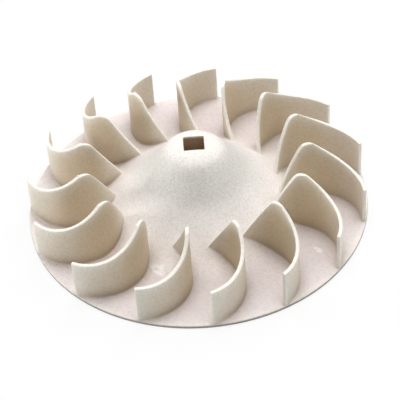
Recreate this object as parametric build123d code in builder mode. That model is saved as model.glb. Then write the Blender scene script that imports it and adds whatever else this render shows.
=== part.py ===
from build123d import *
import os
from math import cos, hypot, radians, sin, sqrt, tan

# Blower wheel of a tumble dryer, moulded in one piece of ivory plastic.
#
# A flat round plate rises at its middle into a bell-shaped hub. Fifteen tall curved blades stand on
# the plate in a ring and climb onto the foot of the hub. The hub is a thin shell: inside it a boss
# with a square drive hole is tied to the shell by radial webs.
#
# Millimetres. The origin is on the wheel's axis in the plane of the plate's back face, and +Z runs
# along the axis towards the hub's nose, the side where the air comes in.

# Back plate
plate_radius = 107.0
wall = 2.4  # thickness of the plate and of the hub's shell
rim_chamfer = 0.6  # on both edges of the plate's rim

# Hub, whose section is four straight lines with rounded corners
hub_height = 50.8  # back face to the nose
nose_radius = 14.5  # where the level nose and the shoulder would meet
shoulder_angle = 52.0  # the steep upper part, from the level
shoulder_height = 22.6  # nose to the neck, where the shoulder and the cone would meet
cone_angle = 39.0  # the long lower part, from the level
nose_round = 17.0
neck_round = 40.0
flare_reach = 12.75  # of the soft corner between cone and plate, along either

# Blades, each an arc in plan
blade_count = 15
blade_thickness = 2.2
blade_arc_radius = 28.6  # at the middle of the wall
blade_rim_margin = 1.4  # plate left bare outside the blades' outer ends
first_blade_angle = -117.5  # direction of the first blade's arc centre

# Places on a blade's arc, as turns round its centre from the outward direction
tip_turn = 20.2  # outer end, at the rim
crown_turn = 120.3  # where the slope and the flank would meet
flank_turn = 145.0  # where the flank is square to the wall
root_turn = 168.0  # inner end, under the flank's foot

# Outline of the blades seen from the side: a level land, a slope up to the crown, a steep flank
land_height = 25.6  # outer end above the plate
land_width = 18.5  # plate's rim to where the level land and the slope would meet
land_round = 58.0
slope_angle = 38.0  # from the level
crown_fall = 42.0  # of the crown's outer side, from the level
crown_round = 5.7
flank_angle = 58.5  # of the straight inner edge, from the level

# Inside the hub
drive_square = 12.7  # across the flats of the drive hole
drive_corner_round = 0.5
boss_wall = 3.5  # at the hole's corners
boss_recess = 1.0  # boss end behind the plane of the back face
web_count = 4
web_thickness = 1.8
web_recess = 5.0  # web edges behind the plane of the back face
first_web_angle = 45.0

plate_face = wall
drive_way = 2 * hub_height  # length of cut that clears the hub at both ends
boss_radius = hypot(drive_square / 2, drive_square / 2) + boss_wall

neck_radius = nose_radius + shoulder_height / tan(radians(shoulder_angle))
neck_height = hub_height - shoulder_height - plate_face
cone_foot_radius = neck_radius + neck_height / tan(radians(cone_angle))


def bell_points(depth):
    """Corners of the hub's section line, nose to plate, moved inwards by depth from the outer surface."""
    shoulder = tan(radians(shoulder_angle))
    cone = tan(radians(cone_angle))
    nose_r = nose_radius - depth * tan(radians(shoulder_angle / 2))
    nose_z = hub_height - depth
    foot_r = cone_foot_radius - depth * tan(radians(cone_angle / 2))
    foot_z = plate_face - depth
    neck_r = (nose_z - foot_z + shoulder * nose_r - cone * foot_r) / (shoulder - cone)
    neck_z = foot_z + cone * (foot_r - neck_r)
    return [(0, nose_z), (nose_r, nose_z), (neck_r, neck_z), (foot_r, foot_z)]


def bell_rounds(depth):
    """Radii of the nose and the neck of the same line."""
    return (nose_round - depth, neck_round + depth)


# Plate and hub: one shell, turned from its section
flare_corner = Vector(cone_foot_radius, plate_face)
flare_end = flare_corner + Vector(flare_reach, 0)
flare_top = flare_corner - Vector(flare_reach, 0).rotate(Axis.Z, -cone_angle)

with BuildPart() as shell:
    with BuildSketch(Plane.XZ) as shell_section:
        with BuildLine():
            outer = FilletPolyline(*bell_points(0)[:3], flare_top, radius=bell_rounds(0))
            Bezier(flare_top, flare_corner, flare_end)
            inner = FilletPolyline(*bell_points(wall), radius=bell_rounds(wall))
            Polyline(flare_end, (plate_radius, plate_face), (plate_radius, 0), inner @ 1)
            Line(outer @ 0, inner @ 0)
        make_face()
        rim_corners = shell_section.vertices().group_by(Axis.X)[-1]
        chamfer(rim_corners, length=rim_chamfer)
    revolve(axis=Axis.Z)

# Everything below the middle of the shell's wall, which trims what grows out of either side of it
with BuildPart() as core:
    with BuildSketch(Plane.XZ):
        with BuildLine():
            middle = FilletPolyline(*bell_points(wall / 2), radius=bell_rounds(wall / 2))
            Polyline(middle @ 1, (plate_radius, wall / 2), (plate_radius, -wall), (0, -wall), middle @ 0)
        make_face()
    revolve(axis=Axis.Z)

# Centre of a blade's arc, set back from the rim so that the arc's outer end keeps its margin
tip_radius = plate_radius - blade_rim_margin
tip_aside = blade_arc_radius * sin(radians(tip_turn))
blade_arc_centre = sqrt(tip_radius**2 - tip_aside**2) - blade_arc_radius * cos(radians(tip_turn))

# Line of a blade's top edge, seen along the Y axis
slope = tan(radians(slope_angle))
land_z = plate_face + land_height
land_x = plate_radius - land_width
land_end = (land_x + land_round, land_z)
slope_top_x = blade_arc_centre - blade_arc_radius - blade_thickness
slope_top = (slope_top_x, land_z + slope * (land_x - slope_top_x))

# View of a blade in which its flank is a line. Distances across are from the arc's centre.
across = Vector(1, 0, 0).rotate(Axis.Z, flank_turn - 90)
flank_view = Plane(origin=(blade_arc_centre, 0, 0), x_dir=across, z_dir=across.rotate(Axis.Z, -90))
view_depth = 2 * blade_arc_radius

crown_across = blade_arc_radius * sin(radians(flank_turn - crown_turn))
crown_x = blade_arc_centre + blade_arc_radius * cos(radians(crown_turn))
crown_z = land_z + slope * (land_x - crown_x)
flank_foot = (crown_across - crown_z / tan(radians(flank_angle)), 0)
fall_foot = (crown_across + crown_z / tan(radians(crown_fall)), 0)

# One blade: an arc band from the rim to the hub, cut to the slope and the flank, with its foot in the shell
arc_sweep = root_turn - tip_turn

with BuildPart() as blade:
    with BuildSketch():
        with BuildLine():
            centre = (blade_arc_centre, 0)
            convex = CenterArc(centre, blade_arc_radius + blade_thickness / 2, tip_turn, arc_sweep)
            concave = CenterArc(centre, blade_arc_radius - blade_thickness / 2, tip_turn, arc_sweep)
            Line(convex @ 0, concave @ 0)
            Line(convex @ 1, concave @ 1)
        make_face()
    extrude(amount=crown_z)
    with BuildSketch(Plane.XZ):
        with BuildLine():
            FilletPolyline(slope_top, (land_x, land_z), land_end, radius=land_round)
            Polyline(land_end, (land_end[0], 0), (slope_top_x, 0), slope_top)
        make_face()
    extrude(amount=view_depth, both=True, mode=Mode.INTERSECT)
    with BuildSketch(flank_view):
        with BuildLine():
            FilletPolyline(flank_foot, (crown_across, crown_z), fall_foot, radius=crown_round)
            Line(fall_foot, flank_foot)
        make_face()
    extrude(amount=view_depth, both=True, mode=Mode.INTERSECT)
    add(core.part, mode=Mode.SUBTRACT)

# Boss and webs inside the hub, grown up to the middle of the shell's wall
with BuildPart() as boss:
    with BuildSketch(Plane.XY.offset(boss_recess)):
        Circle(boss_radius)
    extrude(amount=hub_height)
    with BuildSketch(Plane.XY.offset(web_recess)):
        with PolarLocations(0, web_count, first_web_angle):
            Rectangle(cone_foot_radius, web_thickness, align=(Align.MIN, Align.CENTER))
    extrude(amount=hub_height)
    add(core.part, mode=Mode.INTERSECT)

with BuildPart() as blower_wheel:
    add(shell.part)
    with PolarLocations(0, blade_count, first_blade_angle):
        add(blade.part)
    add(boss.part)
    with BuildSketch():
        RectangleRounded(drive_square, drive_square, drive_corner_round)
    extrude(amount=drive_way, both=True, mode=Mode.SUBTRACT)

blower_wheel.part.label = "blower_wheel"
os.makedirs("parts", exist_ok=True)
export_step(blower_wheel.part, "parts/blower_wheel.step")
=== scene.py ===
from math import atan2, ceil, cos, hypot, pi, radians, sin, sqrt, tan

import bmesh
import bpy
from mathutils import Euler, Matrix, Vector


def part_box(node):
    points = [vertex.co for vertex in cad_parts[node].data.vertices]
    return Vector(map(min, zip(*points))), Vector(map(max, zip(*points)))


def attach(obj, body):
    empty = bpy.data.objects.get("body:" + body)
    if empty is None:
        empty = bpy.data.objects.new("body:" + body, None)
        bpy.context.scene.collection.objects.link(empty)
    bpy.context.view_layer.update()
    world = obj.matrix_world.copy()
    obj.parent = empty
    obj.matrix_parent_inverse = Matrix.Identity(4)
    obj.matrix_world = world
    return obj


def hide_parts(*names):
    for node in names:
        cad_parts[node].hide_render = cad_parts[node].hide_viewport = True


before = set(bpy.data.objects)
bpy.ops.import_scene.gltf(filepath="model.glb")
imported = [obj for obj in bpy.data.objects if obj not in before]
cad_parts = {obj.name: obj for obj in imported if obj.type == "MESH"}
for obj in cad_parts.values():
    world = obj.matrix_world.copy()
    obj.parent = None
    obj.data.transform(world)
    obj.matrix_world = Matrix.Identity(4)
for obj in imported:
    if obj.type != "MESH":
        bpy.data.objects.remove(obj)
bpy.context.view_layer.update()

# Blower wheel of a tumble dryer, dressed for the camera.
#
# One piece stands for the CAD wheel and has its sizes, with the small radii that the moulding has
# at the rim, along the blades' top edges and round their feet. It is modelled in millimetres on the
# wheel's axis and scaled to metres at the end.

wheel_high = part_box("blower_wheel")[1]

MM = 0.001

# Plate and hub, as in the CAD model
plate_radius = wheel_high.x / MM
hub_height = wheel_high.z / MM
wall = 2.4
plate_face = wall
nose_radius = 14.5
shoulder_angle = radians(52.0)
shoulder_height = 22.6
cone_angle = radians(39.0)
nose_round = 17.0
neck_round = 40.0
flare_reach = 12.75
neck_radius = nose_radius + shoulder_height / tan(shoulder_angle)
cone_foot_radius = neck_radius + (hub_height - shoulder_height - plate_face) / tan(cone_angle)

# Blades, as in the CAD model. A turn is an angle round the arc's centre from the outward direction.
blade_count = 15
blade_thickness = 2.2
blade_arc_radius = 28.6
blade_rim_margin = 1.4
first_blade_angle = radians(-117.5)
tip_turn = radians(20.2)
crown_turn = radians(120.3)
flank_turn = radians(145.0)
land_height = 25.6
land_width = 18.5
land_round = 58.0
slope_angle = radians(38.0)
crown_fall = radians(42.0)
crown_round = 5.7
flank_angle = radians(58.5)

# Drive hole, boss and webs, as in the CAD model
drive_half = 12.7 / 2
drive_corner_round = 0.5
boss_wall = 3.5
boss_radius = hypot(drive_half, drive_half) + boss_wall
boss_recess = 1.0
web_count = 4
web_thickness = 1.8
web_recess = 5.0
first_web_angle = radians(45.0)

# Small radii of the moulding
rim_round = 0.8
inside_foot_round = 2.0
drive_edge_round = 0.35
boss_edge_round = 0.5
blade_edge_round = 0.4
blade_foot_round = 0.8
web_edge_round = 0.35
crease_angle = radians(40)  # sharper edges keep a hard line in the shading

# Numbers that go with the blades' points, in metres: height above the shell, depth below the top
# edge, and distance along the arc from the outer end
point_numbers = ("rise", "drop", "reach")


def rounded_line(corners, rounds, arc_step=radians(4.0)):
    """Points along a line through corners in a plane, with every inner corner rounded."""
    corners = [Vector(corner) for corner in corners]
    points = [corners[0]]
    for before, corner, after, radius in zip(corners, corners[1:], corners[2:], rounds):
        come = (corner - before).normalized()
        go = (after - corner).normalized()
        bend = come.angle(go)
        side = (go - come * come.dot(go)).normalized()
        start = corner - come * radius * tan(bend / 2)
        steps = ceil(bend / arc_step)
        for i in range(steps + 1):
            angle = bend * i / steps
            points.append(start + radius * (come * sin(angle) + side * (1 - cos(angle))))
    points.append(corners[-1])
    return points


def height_at(line, distance):
    """Height of a line at a distance along its first axis."""
    for a, b in zip(line, line[1:]):
        if distance <= b.x:
            break
    return a.y + (b.y - a.y) * (distance - a.x) / (b.x - a.x)


def bell_corners(depth):
    """Corners of the hub's section line, nose to plate, at a depth inwards from the outer surface."""
    shoulder = tan(shoulder_angle)
    cone = tan(cone_angle)
    nose_r = nose_radius - depth * tan(shoulder_angle / 2)
    nose_z = hub_height - depth
    foot_r = cone_foot_radius - depth * tan(cone_angle / 2)
    foot_z = plate_face - depth
    neck_r = (nose_z - foot_z + shoulder * nose_r - cone * foot_r) / (shoulder - cone)
    neck_z = foot_z + cone * (foot_r - neck_r)
    return [(0, nose_z), (nose_r, nose_z), (neck_r, neck_z), (foot_r, foot_z), (plate_radius, foot_z)]


def inside_line(depth):
    """Section line at a depth inside the shell, with a small round at the cone's foot."""
    rounds = [nose_round - depth, neck_round + depth, inside_foot_round]
    return rounded_line(bell_corners(depth), rounds)


def outside_line(steps=24):
    """Section line of the outer surface, whose corner between cone and plate is soft."""
    corner = Vector((cone_foot_radius, plate_face))
    start = corner + flare_reach * Vector((-cos(cone_angle), sin(cone_angle)))
    end = corner + Vector((flare_reach, 0))
    line = rounded_line(bell_corners(0)[:3] + [start], [nose_round, neck_round])
    for i in range(1, steps + 1):
        share = i / steps
        line.append(start.lerp(corner, share).lerp(corner.lerp(end, share), share))
    return line + [Vector((plate_radius, plate_face))]


outer_line = outside_line()
inner_line = inside_line(wall)
middle_line = inside_line(wall / 2)


def face_height(x, y):
    """Height of the hub's and plate's outer surface above a point of the plan."""
    return height_at(outer_line, hypot(x, y))


def new_verts(result):
    return [item for item in result["geom"] if isinstance(item, bmesh.types.BMVert)]


def new_faces(result):
    return [item for item in result["geom"] if isinstance(item, bmesh.types.BMFace)]


def point_layers(bm):
    return [bm.verts.layers.float.new(name) for name in point_numbers]


def new_object(name, bm):
    """Puts a finished bmesh into the scene, at the origin."""
    mesh = bpy.data.meshes.new(name)
    bm.to_mesh(mesh)
    bm.free()
    piece = bpy.data.objects.new(name, mesh)
    bpy.context.scene.collection.objects.link(piece)
    return piece


def carry_on(bm, faces):
    """Extrudes faces of a closed shape, which stays closed and hollow."""
    result = bmesh.ops.extrude_face_region(bm, geom=faces)
    bmesh.ops.delete(bm, geom=faces, context="FACES")
    return result


def closed_loop(bm, points):
    """Vertices and edges of a closed outline."""
    verts = [bm.verts.new(point) for point in points]
    edges = [bm.edges.new((a, b)) for a, b in zip(verts, verts[1:] + verts[:1])]
    return verts + edges


def bevel(bm, edges, offset, segments):
    bmesh.ops.bevel(
        bm,
        geom=edges,
        offset=offset,
        offset_type="OFFSET",
        segments=segments,
        profile=0.5,
        affect="EDGES",
        material=-1,
        clamp_overlap=False,
    )


def turn_and_repeat(bm, first_angle, count):
    """Turns everything to its first place, then copies it to count places round the axis."""
    turn = Matrix.Rotation(first_angle, 3, "Z")
    bmesh.ops.rotate(bm, cent=(0, 0, 0), matrix=turn, verts=bm.verts)
    bmesh.ops.spin(
        bm,
        geom=bm.verts[:] + bm.edges[:] + bm.faces[:],
        axis=(0, 0, 1),
        cent=(0, 0, 0),
        angle=2 * pi * (count - 1) / count,
        steps=count - 1,
        use_duplicate=True,
    )


# Shell, boss and drive hole

def square_radius(angle):
    """Distance from the axis to the drive hole's wall in a direction."""
    far = max(abs(cos(angle)), abs(sin(angle)))
    near = min(abs(cos(angle)), abs(sin(angle)))
    flat = drive_half / far
    corner = drive_half - drive_corner_round
    if flat * near <= corner:
        return flat
    reach = corner * (far + near)
    return reach + sqrt(reach**2 - 2 * corner**2 + drive_corner_round**2)


def square_the_hole(bm):
    """Draws the round hole's wall and the nose's surface near it out to the square."""
    rounded_margin = 0.3
    fade_radius = boss_radius - rounded_margin
    for vert in bm.verts:
        x, y, z = vert.co
        radius = hypot(x, y)
        if radius >= fade_radius:
            continue
        share = (fade_radius - radius) / (fade_radius - drive_half)
        share = share * share * (3 - 2 * share)
        squared = radius + (square_radius(atan2(y, x)) - drive_half) * share
        if z > hub_height / 2:
            z += height_at(outer_line, squared) - height_at(outer_line, radius)
        vert.co = (x * squared / radius, y * squared / radius, z)


def add_shell(bm, steps=360):
    """Turns the closed section of shell, boss and hole, then squares the hole."""
    upper = [p for p in outer_line[1:-1] if p.x > drive_half + 2 * drive_edge_round]
    lower = [p for p in inner_line[1:-1] if p.x > boss_radius + 2 * boss_edge_round]
    rim_corners = [upper[-1], (plate_radius, plate_face), (plate_radius, 0), lower[-1]]
    rim = rounded_line(rim_corners, [rim_round] * 2, arc_step=radians(15.0))
    boss_corners = [
        lower[0],
        (boss_radius, lower[0].y),
        (boss_radius, boss_recess),
        (drive_half, boss_recess),
        (drive_half, upper[0].y),
        upper[0],
    ]
    boss_rounds = [boss_edge_round, boss_edge_round, drive_edge_round, drive_edge_round]
    boss = rounded_line(boss_corners, boss_rounds, arc_step=radians(22.5))
    section = upper + rim[1:-1] + lower[::-1] + boss[1:-1]
    outline = closed_loop(bm, [(p.x, 0, p.y) for p in section])
    bmesh.ops.spin(
        bm, geom=outline, axis=(0, 0, 1), cent=(0, 0, 0), angle=2 * pi, steps=steps, use_merge=True
    )
    square_the_hole(bm)


# Blades

tip_radius = plate_radius - blade_rim_margin
tip_aside = blade_arc_radius * sin(tip_turn)
arc_centre = Vector((sqrt(tip_radius**2 - tip_aside**2) - blade_arc_radius * cos(tip_turn), 0))

slope = tan(slope_angle)
land_z = plate_face + land_height
land_x = plate_radius - land_width
slope_top_x = arc_centre.x - blade_arc_radius - blade_thickness
slope_top = (slope_top_x, land_z + slope * (land_x - slope_top_x))
slope_line = rounded_line([slope_top, (land_x, land_z), (land_x + land_round, land_z)], [land_round])

across = Vector((sin(flank_turn), -cos(flank_turn)))
crown_across = blade_arc_radius * sin(flank_turn - crown_turn)
crown_x = arc_centre.x + blade_arc_radius * cos(crown_turn)
crown_z = land_z + slope * (land_x - crown_x)
flank_foot = (crown_across - crown_z / tan(flank_angle), 0)
fall_foot = (crown_across + crown_z / tan(crown_fall), 0)
crown_line = rounded_line([flank_foot, (crown_across, crown_z), fall_foot], [crown_round])


def blade_top(x, y):
    """Height of a blade's outline at a point of the plan, for the blade drawn along the X axis."""
    on_slope = height_at(slope_line, x)
    on_crown = height_at(crown_line, (Vector((x, y)) - arc_centre).dot(across))
    return min(on_slope, on_crown)


def arc_point(turn, radius=blade_arc_radius):
    return arc_centre + radius * Vector((cos(turn), sin(turn)))


def buried_turn(depth=0.5, step=radians(0.25)):
    """Turn at which the flank has gone under the hub's surface by depth."""
    turn = flank_turn
    while blade_top(*arc_point(turn)) > face_height(*arc_point(turn)) - depth:
        turn += step
    return turn


def blade_core(x, y):
    """Nearest point of the blade's core, which lies inside it by the radius of its edges."""
    offset = Vector((x, y)) - arc_centre
    half = blade_thickness / 2 - blade_edge_round
    radius = min(max(offset.length, blade_arc_radius - half), blade_arc_radius + half)
    turn = max(atan2(offset.y, offset.x), tip_turn + blade_edge_round / blade_arc_radius)
    return arc_point(turn, radius)


def foot_height(x, y, lift):
    """Height of a point of the blade's foot, which stays inside the shell where the flank ends."""
    least_wall = 2.0
    deepest = 1.5
    face = face_height(x, y)
    sunk = min(max(face + blade_foot_round - blade_top(x, y) + least_wall, 0), deepest + lift)
    return face + lift - sunk


def draw_blade_wall(bm, steps=100):
    """Draws one blade's straight wall with four rows of points, numbered 0 to 3 by their height."""
    start = [
        bm.verts.new((*arc_point(tip_turn, blade_arc_radius + side * blade_thickness / 2), 0))
        for side in (-1, 1)
    ]
    bmesh.ops.spin(
        bm,
        geom=start + [bm.edges.new(start)],
        axis=(0, 0, 1),
        cent=(*arc_centre, 0),
        angle=buried_turn() - tip_turn,
        steps=steps,
    )
    result = bmesh.ops.extrude_face_region(bm, geom=bm.faces[:])
    bmesh.ops.translate(bm, vec=(0, 0, 1), verts=new_verts(result))
    for row in (2, 3):
        result = carry_on(bm, new_faces(result))
        bmesh.ops.translate(bm, vec=(0, 0, 1), verts=new_verts(result))
    bmesh.ops.recalc_face_normals(bm, faces=bm.faces)


def sharp_edges(bm, top_row=3):
    """Edges of the straight wall to be rounded: the outline of its top, and the uprights at its tip."""

    def at_tip(edge):
        middle = (edge.verts[0].co + edge.verts[1].co) / 2
        return (middle.xy - arc_centre).angle(Vector((1, 0))) < tip_turn + radians(0.5)

    def is_sharp(edge):
        if edge.calc_face_angle() < radians(60):
            return False
        a, b = (vert.co for vert in edge.verts)
        if a.z != b.z:
            return at_tip(edge)
        crosses_wall = (a - b).length > blade_thickness / 2
        return a.z == top_row and (at_tip(edge) or not crosses_wall)

    return [edge for edge in bm.edges if is_sharp(edge)]


def shape_blade_wall(bm, support=0.3):
    """Moves the four rows of the straight wall to the foot and to the outline, with support rows."""
    for vert in bm.verts:
        x, y, row = vert.co
        top = blade_top(x, y)
        foot = foot_height(x, y, blade_foot_round)
        middle = (top + foot) / 2
        rows = (
            foot,
            min(foot + support, middle),
            max(top - blade_edge_round - support, middle),
            top,
        )
        vert.co.z = rows[round(row)]


def spread_foot(bm, rows=4, sink=0.7):
    """Carries the underside of the wall down in a hollow curve onto the shell, and on into it."""
    bm.normal_update()
    faces = [face for face in bm.faces if face.normal.z < -0.3]  # the wall's underside
    for row in range(1, rows + 1):
        angle = pi / 2 * row / rows
        result = carry_on(bm, faces)
        for vert in new_verts(result):
            core = blade_core(vert.co.x, vert.co.y)
            out = (vert.co.xy - core).normalized()
            place = core + out * (blade_edge_round + blade_foot_round * (1 - cos(angle)))
            place *= min(1, (plate_radius - rim_round / 2) / place.length)
            lift = blade_foot_round * (1 - sin(angle))
            vert.co = (*place, foot_height(*place, lift))
        faces = new_faces(result)
    result = carry_on(bm, faces)
    bmesh.ops.translate(bm, vec=(0, 0, -sink), verts=new_verts(result))


def number_points(bm):
    """Fills the layers of numbers that the blades' points keep."""
    rise, drop, reach = point_layers(bm)
    for vert in bm.verts:
        x, y, z = vert.co
        turn = atan2(y, x - arc_centre.x)
        vert[rise] = max(0, z - face_height(x, y)) * MM
        vert[drop] = max(0, blade_top(x, y) - z) * MM
        vert[reach] = max(0, turn - tip_turn) * blade_arc_radius * MM


def add_blades(bm):
    """Makes one blade and repeats it round the hub."""
    draw_blade_wall(bm)
    sharp = sharp_edges(bm)
    shape_blade_wall(bm)
    bevel(bm, sharp, blade_edge_round, 3)
    spread_foot(bm)
    number_points(bm)
    turn_and_repeat(bm, first_blade_angle, blade_count)


# Webs inside the hub

def add_webs(bm):
    """Thin upright plates from the boss to the shell, with their upper edges in the shell's wall."""
    overlap = 1.0
    shortest_long_edge = 10
    inner_end = boss_radius - overlap
    top = [p for p in middle_line if p.x > inner_end and p.y > web_recess]
    corners = [(inner_end, web_recess), (inner_end, top[0].y)] + [tuple(p) for p in top]
    corners.append((top[-1].x + (top[-1].y - web_recess) / tan(cone_angle), web_recess))
    outline = closed_loop(bm, [(r, -web_thickness / 2, z) for r, z in corners])
    side = bmesh.ops.contextual_create(bm, geom=outline)["faces"]
    result = bmesh.ops.extrude_face_region(bm, geom=side)
    bmesh.ops.translate(bm, vec=(0, web_thickness, 0), verts=new_verts(result))
    lower = [edge for edge in bm.edges if all(vert.co.z == web_recess for vert in edge.verts)]
    bevel(bm, [edge for edge in lower if edge.calc_length() > shortest_long_edge], web_edge_round, 2)
    turn_and_repeat(bm, first_web_angle, web_count)


def make_wheel(name):
    """Shell, blades and webs as the one moulding that they are."""
    wheel = bmesh.new()
    point_layers(wheel)
    for add_part in (add_shell, add_blades, add_webs):
        bm = bmesh.new()
        add_part(bm)
        bmesh.ops.recalc_face_normals(bm, faces=bm.faces)
        mesh = bpy.data.meshes.new("part")
        bm.to_mesh(mesh)
        bm.free()
        wheel.from_mesh(mesh)
        bpy.data.meshes.remove(mesh)
    bmesh.ops.scale(wheel, vec=(MM, MM, MM), verts=wheel.verts)
    for face in wheel.faces:
        face.smooth = True
    for edge in wheel.edges:
        edge.smooth = edge.calc_face_angle(0) < crease_angle
    return new_object(name, wheel)


# Materials. Lengths in this part are metres, as the finished piece has them.

# Over the hub's greyer tone, nose and flare are painted lighter as painted light and the neck darker as
# painted shade
lit_nose_colour = (0.82, 0.78, 0.735, 1)
shaded_neck_colour = (0.685, 0.665, 0.62, 1)
lit_flare_colour = (0.86, 0.80, 0.77, 1)
plate_colour = (0.755, 0.685, 0.68, 1)
blade_colour = (0.67, 0.59, 0.465, 1)
# The hollow side's colour is a darker, warmer copy of the blade colour: painted shade
shaded_hollow_colour = (0.67, 0.58, 0.435, 1)
# Painted shade: brown along the middle of the blades' walls
painted_shade_brown_colour = (0.60, 0.475, 0.29, 1)
blotch_colour = (0.66, 0.54, 0.40, 1)
# Painted shade at the blades' feet and on the shell beside them
painted_foot_shade_colour = (0.40, 0.31, 0.21, 1)
# Painted light on the blades' top edges and ends and on the plate's outer margin
painted_edge_light_colour = (0.86, 0.82, 0.74, 1)
rub_colour = (0.95, 0.93, 0.91, 1)
# Painted shade inside the drive hole
painted_bore_shade_colour = (0.45, 0.32, 0.20, 1)
# Painted shade along the rim's lower edge
painted_rim_shade_colour = (0.34, 0.31, 0.26, 1)
paper_colour = (0.8, 0.8, 0.8, 1)
white = (1, 1, 1, 1)

# Distances from the axis between which the shell's colour or grain changes. The colour steps are
# painted light on the nose, the flare and the outer margin, and painted shade on the neck
nose_to_neck = (0.015, 0.023)
neck_to_flare = (0.027, 0.054)
flare_to_plate = (0.054, 0.074)
plate_to_margin = (0.101, 0.106)
shell_to_rim = (0.1062, 0.1068)
plate_to_hub_grain = (0.052, 0.040)

# Where the colour of the blades, the painted shade in the drive hole and the painted shade on the rim
# begin: height above the shell, distance from the hole's middle, height of the hole's mouth, and
# height on the rim
shell_to_blade = (0.0002, 0.0012)
nose_to_bore = (0.00660, 0.00638)
mouth_to_bore = (0.0507, 0.0485)
margin_to_rim = (0.0022, 0.0016)

# Sizes of the patterns in the plastic
cloud_size = 0.030
blotch_size = 0.010
mottle_size = 0.0016
fleck_size = 0.0010
grain_size = 0.0004
ring_spacing = 0.0011
stroke_width = 0.0014

# Light rubs on the plate: place in plan, direction and length
rubs = (
    (-0.027, -0.060, radians(-50), 0.015),
    (-0.024, -0.057, radians(75), 0.010),
    (0.0706, -0.0515, radians(-45), 0.009),
)


class Wire:
    """An output of a node. Sums written on wires add the Math nodes that work them out."""

    def __init__(self, paint, socket):
        self.paint = paint
        self.socket = socket

    def __add__(self, other):
        return self.paint.math("ADD", self, other)

    def __sub__(self, other):
        return self.paint.math("SUBTRACT", self, other)

    def __rsub__(self, other):
        return self.paint.math("SUBTRACT", other, self)

    def __mul__(self, other):
        return self.paint.math("MULTIPLY", self, other)

    def __pow__(self, other):
        return self.paint.math("POWER", self, other)

    __radd__ = __add__
    __rmul__ = __mul__


class Paint:
    """A node tree that is filled node by node."""

    def __init__(self, tree):
        self.tree = tree
        self.tree.nodes.clear()

    def node(self, kind, settings=None, sockets=None, output=0):
        """Adds a node, sets it up, fills its sockets from values or wires, and gives an output."""
        node = self.tree.nodes.new(kind)
        for name, value in (settings or {}).items():
            setattr(node, name, value)
        for name, value in (sockets or {}).items():
            if isinstance(value, Wire):
                self.tree.links.new(value.socket, node.inputs[name])
            else:
                node.inputs[name].default_value = value
        return Wire(self, node.outputs[output]) if len(node.outputs) else None

    def math(self, operation, *values):
        return self.node("ShaderNodeMath", {"operation": operation}, dict(enumerate(values)))

    def coordinate(self, vector, axis):
        return self.node("ShaderNodeSeparateXYZ", {}, {0: vector}, output="XYZ".index(axis))

    def point_value(self, name):
        """Number that the mesh keeps at its points."""
        return self.node("ShaderNodeAttribute", {"attribute_name": name}, output=2)

    def fade(self, value, start, end):
        """0 before start, 1 after end and a smooth change between, also where end is the lower."""
        settings = {"interpolation_type": "SMOOTHSTEP"}
        sockets = {"Value": value, "From Min": start, "From Max": end}
        return self.node("ShaderNodeMapRange", settings, sockets)

    def die_away(self, value, length):
        """1 at 0, and less by a factor of e for every length."""
        return self.math("EXPONENT", value * (-1 / length))

    def noise(self, place, size, detail=2.0, roughness=0.5):
        """Cloudy pattern from 0 to 1 whose blots are about size metres across."""
        sockets = {"Vector": place, "Scale": 1 / size, "Detail": detail, "Roughness": roughness}
        return self.node("ShaderNodeTexNoise", {}, sockets)

    def mix(self, share, first, second):
        """Colour that goes from first to second as share goes from 0 to 1."""
        sockets = {0: share, 6: first, 7: second}
        return self.node("ShaderNodeMix", {"data_type": "RGBA"}, sockets, output=2)


def new_material(name):
    material = bpy.data.materials.new(name)
    material.use_nodes = True
    return material, Paint(material.node_tree)


def wall_place(paint, x, y, radius):
    """Where a point lies by the nearest blade's wall, in plan.

    Gives its distance outwards from the middle of the wall, and a number that is 1 at the wall and
    dies away beside it: the share of painted shade beside the blades. The angle is folded into one
    sector of the wheel, because each blade lies within such a sector. The outer end is near the
    sector's start, the inner end at the hub's foot.
    """
    sector = 2 * pi / blade_count
    sector_start = radians(1.0)
    outer_end = (radians(3.5), radians(6.0))
    inner_end = (0.053, 0.061)
    shade_length = 0.0025

    angle = paint.math("ARCTAN2", y, x) - first_blade_angle
    folded = paint.math("WRAP", angle, sector_start + sector, sector_start)
    along = radius * paint.math("COSINE", folded) - arc_centre.x * MM
    aside = radius * paint.math("SINE", folded)
    out = (along * along + aside * aside) ** 0.5 - blade_arc_radius * MM
    away = paint.math("ABSOLUTE", out) - blade_thickness / 2 * MM
    # Share of painted shade: 1 at the wall, dying away beside it
    beside = paint.math("MINIMUM", paint.die_away(away, shade_length), 1)
    beside = beside * paint.fade(folded, *outer_end) * paint.fade(radius, *inner_end)
    return out, beside


def scuff(paint, place, x, y, turn, length):
    """Strokes of a light rub on the plate, centred on a point of the plan."""
    centre = (x, y, plate_face * MM)
    narrow = {"Vector": place, "Location": centre, "Rotation": (0, 0, turn), "Scale": (1, 0.5, 1)}
    local = paint.node("ShaderNodeMapping", {"vector_type": "TEXTURE"}, narrow)
    away = paint.node("ShaderNodeVectorMath", {"operation": "LENGTH"}, {0: local}, output=1)
    drawn_out = paint.node("ShaderNodeMapping", {}, {"Vector": local, "Scale": (0.3, 1, 1)})
    strokes = paint.noise(drawn_out, stroke_width)
    return paint.fade(away, length / 2, length / 4) * paint.fade(strokes, 0.40, 0.50)


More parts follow.
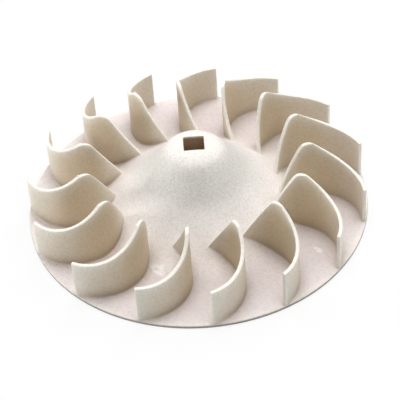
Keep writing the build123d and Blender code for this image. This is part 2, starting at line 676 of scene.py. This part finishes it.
def shell_colour(paint, place, radius, painted_wall_shade):
    """Colour of nose, neck, flare, plate and its bare margin, with painted light and shade, painted
    shade beside the blades, and rubbed.
    """
    upwards = paint.coordinate(paint.node("ShaderNodeTexCoord", output=1), "Z")
    upper_side = paint.fade(upwards, 0.05, 0.4)
    # Painted light on nose and flare, painted shade on the neck
    colour = paint.mix(paint.fade(radius, *nose_to_neck), lit_nose_colour, shaded_neck_colour)
    colour = paint.mix(paint.fade(radius, *neck_to_flare), colour, lit_flare_colour)
    colour = paint.mix(paint.fade(radius, *flare_to_plate), colour, plate_colour)
    # Painted light on the plate's outer margin
    colour = paint.mix(0.4 * paint.fade(radius, *plate_to_margin), colour, painted_edge_light_colour)
    # Painted shade on the shell beside the blades' feet
    colour = paint.mix(0.5 * painted_wall_shade * upper_side, colour, painted_foot_shade_colour)
    rubbed = sum(scuff(paint, place, *rub) for rub in rubs)
    return paint.mix(0.9 * rubbed * upper_side, colour, rub_colour)


def wall_colour(paint, place, rise, convex):
    """Colour of a blade's wall: painted brown shade along its middle and on its hollow side, painted
    dark shade at the foot, painted light at the edges and ends.
    """
    drop = paint.point_value("drop")
    reach = paint.point_value("reach")

    blotches = paint.noise(place, blotch_size)
    # Painted brown shade along the middle of the wall
    middle = paint.fade(reach, 0.022, 0.038) * paint.fade(reach, 0.062, 0.052)
    # Painted shade at the foot, deeper on the convex side
    foot = paint.die_away(rise, 0.0040) * (0.8 + 0.9 * convex)
    # Painted light below the top edge, behind the outer end and before the root
    below_top = 1 - 0.95 * paint.die_away(drop, 0.0042)
    below_top = below_top * (1 - 0.6 * paint.fade(drop, 0.0021, 0.0010))
    behind_tip = 1 - 0.75 * paint.die_away(reach, 0.0100)
    behind_tip = behind_tip * (1 - 0.6 * paint.fade(reach, 0.0018, 0.0006))
    before_root = 1 - 0.4 * paint.fade(reach, 0.057, 0.070)

    # The hollow side takes a shaded copy of the blade colour: painted shade
    colour = paint.mix(convex, shaded_hollow_colour, blade_colour)
    colour = paint.mix(middle * (0.65 - 0.15 * convex), colour, painted_shade_brown_colour)
    colour = paint.mix(0.3 * paint.fade(blotches, 0.45, 0.65), colour, blotch_colour)
    colour = paint.mix(paint.math("MINIMUM", foot, 0.9), colour, painted_foot_shade_colour)
    return paint.mix(1 - below_top * behind_tip * before_root, colour, painted_edge_light_colour)


def ivory_plastic():
    """Ivory moulding with an uneven satin: warm on the blades, paler on the plate, greyer on the hub,
    with painted light and shade.
    """
    material, paint = new_material("ivory_plastic")
    place = paint.node("ShaderNodeTexCoord", output=3)
    x, y, z = (paint.coordinate(place, axis) for axis in "XYZ")
    radius = (x * x + y * y) ** 0.5
    rise = paint.point_value("rise")
    # The second number is the share of painted shade beside the blades' walls
    out, painted_wall_shade = wall_place(paint, x, y, radius)

    on_blade = paint.fade(rise, *shell_to_blade)
    convex = paint.fade(out, -0.0003, 0.0003)
    across = paint.math("MAXIMUM", paint.math("ABSOLUTE", x), paint.math("ABSOLUTE", y))
    # Painted shade inside the drive hole, darker below its mouth
    bore_shade = paint.fade(across, *nose_to_bore) * paint.fade(z, *mouth_to_bore)
    # Painted shade on the rim's lower edge
    rim = paint.fade(radius, *shell_to_rim) * paint.fade(z, *margin_to_rim)
    colour = shell_colour(paint, place, radius, painted_wall_shade)
    colour = paint.mix(on_blade, colour, wall_colour(paint, place, rise, convex))
    colour = paint.mix(bore_shade, colour, painted_bore_shade_colour)
    colour = paint.mix(rim, colour, painted_rim_shade_colour)

    clouds = paint.noise(place, cloud_size, detail=3.0)
    mottle = paint.noise(place, mottle_size, detail=3.0, roughness=0.6)
    flecks = paint.noise(place, fleck_size, roughness=0.6)
    grain = paint.noise(place, grain_size, roughness=0.6)
    on_hub = paint.fade(radius, *plate_to_hub_grain)
    rings = paint.math("SINE", radius * (2 * pi / ring_spacing) + mottle * 6.0)
    shade = 0.94 + 0.10 * clouds - 0.10 * paint.fade(mottle, 0.42, 0.68)
    shade = shade + on_hub * (0.45 * flecks - 0.225)
    colour = paint.node("ShaderNodeVectorMath", {"operation": "SCALE"}, {0: colour, "Scale": shade})

    roughness = 0.38 + 0.16 * mottle
    height = grain * (0.4 + 0.6 * on_hub) + mottle + on_hub * rings * 0.15
    bump = paint.node("ShaderNodeBump", {}, {"Strength": 0.25, "Distance": 0.00006, "Height": height})
    sockets = {"Base Color": colour, "Roughness": roughness, "Normal": bump, "IOR": 1.49}
    shader = paint.node("ShaderNodeBsdfPrincipled", {}, sockets)
    paint.node("ShaderNodeOutputMaterial", {}, {"Surface": shader})
    return material


def white_floor(white_share=0.85):
    """White to the camera apart from a soft shadow, and plain white paper to everything else."""
    material, paint = new_material("white_floor")
    paper = paint.node("ShaderNodeBsdfDiffuse", {}, {"Color": paper_colour})
    glow = paint.node("ShaderNodeEmission", {}, {"Color": white, "Strength": 1.0})
    seen = paint.node("ShaderNodeLightPath")
    surface = paint.node("ShaderNodeMixShader", {}, {0: seen * white_share, 1: paper, 2: glow})
    paint.node("ShaderNodeOutputMaterial", {}, {"Surface": surface})
    return material


# Wheel

wheel = make_wheel("wheel")
wheel.data.materials.append(ivory_plastic())
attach(wheel, "root")
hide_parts("blower_wheel")

# Floor

bm = bmesh.new()
bmesh.ops.create_grid(bm, x_segments=1, y_segments=1, size=3.0)
floor = new_object("floor", bm)
floor.data.materials.append(white_floor())

# Lamps: place, side of the square and watts

lamps = {
    "overhead": ((0.0, 0.0, 1.2), 0.8, 9.8),
    "high_right": ((0.85, 0.0, 0.75), 0.6, 1.3),
    "high_back_right": ((0.6, 0.6, 0.75), 0.6, 4.4),
    "high_back": ((0.0, 0.85, 0.75), 0.6, 2.1),
    "high_back_left": ((-0.6, 0.6, 0.75), 0.6, 2.7),
    "high_front_left": ((-0.6, -0.6, 0.75), 0.6, 1.3),
    "high_front_right": ((0.6, -0.6, 0.75), 0.6, 1.3),
    "low_left": ((-1.1, 0.0, 0.16), 0.4, 5.0),
    "low_front_left": ((-0.78, -0.78, 0.12), 0.4, 0.9),
    "low_front_right": ((0.74, -0.74, 0.28), 0.5, 0.8),
    "low_right": ((1.05, 0.0, 0.28), 0.5, 0.6),
}
lamp_aim = (0, 0, 0.02)

for name, (place, size, watts) in lamps.items():
    lamp = bpy.data.lights.new(name, "AREA")
    lamp.shape = "SQUARE"
    lamp.size = size
    lamp.energy = watts
    softbox = bpy.data.objects.new(name, lamp)
    softbox.location = place
    softbox.rotation_euler = (Vector(place) - Vector(lamp_aim)).to_track_quat("Z", "Y").to_euler()
    bpy.context.scene.collection.objects.link(softbox)

# World: white to the camera, and no light of its own

world = bpy.data.worlds.new("studio")
world.use_nodes = True
sky = Paint(world.node_tree)
seen = sky.node("ShaderNodeLightPath")
backdrop = sky.node("ShaderNodeBackground", {}, {"Color": white, "Strength": seen})
sky.node("ShaderNodeOutputWorld", {}, {"Surface": backdrop})
bpy.context.scene.world = world

# Camera, fitted to the photograph's 400 by 400 pixels

camera_place = (0.0013, -0.6670, 0.6113)
camera_dip = radians(42.347)
camera_roll = radians(-4.2007)
focal_pixels = 1424.2
picture_pixels = 400
sensor_width = 36.0

camera_data = bpy.data.cameras.new("camera")
camera_data.sensor_width = sensor_width
camera_data.lens = sensor_width * focal_pixels / picture_pixels
camera = bpy.data.objects.new("camera", camera_data)
camera_turn = Euler((pi / 2 - camera_dip, 0, 0)).to_matrix() @ Matrix.Rotation(camera_roll, 3, "Z")
camera.matrix_world = Matrix.Translation(camera_place) @ camera_turn.to_4x4()
bpy.context.scene.collection.objects.link(camera)
bpy.context.scene.camera = camera

bpy.context.scene.view_settings.view_transform = "Standard"
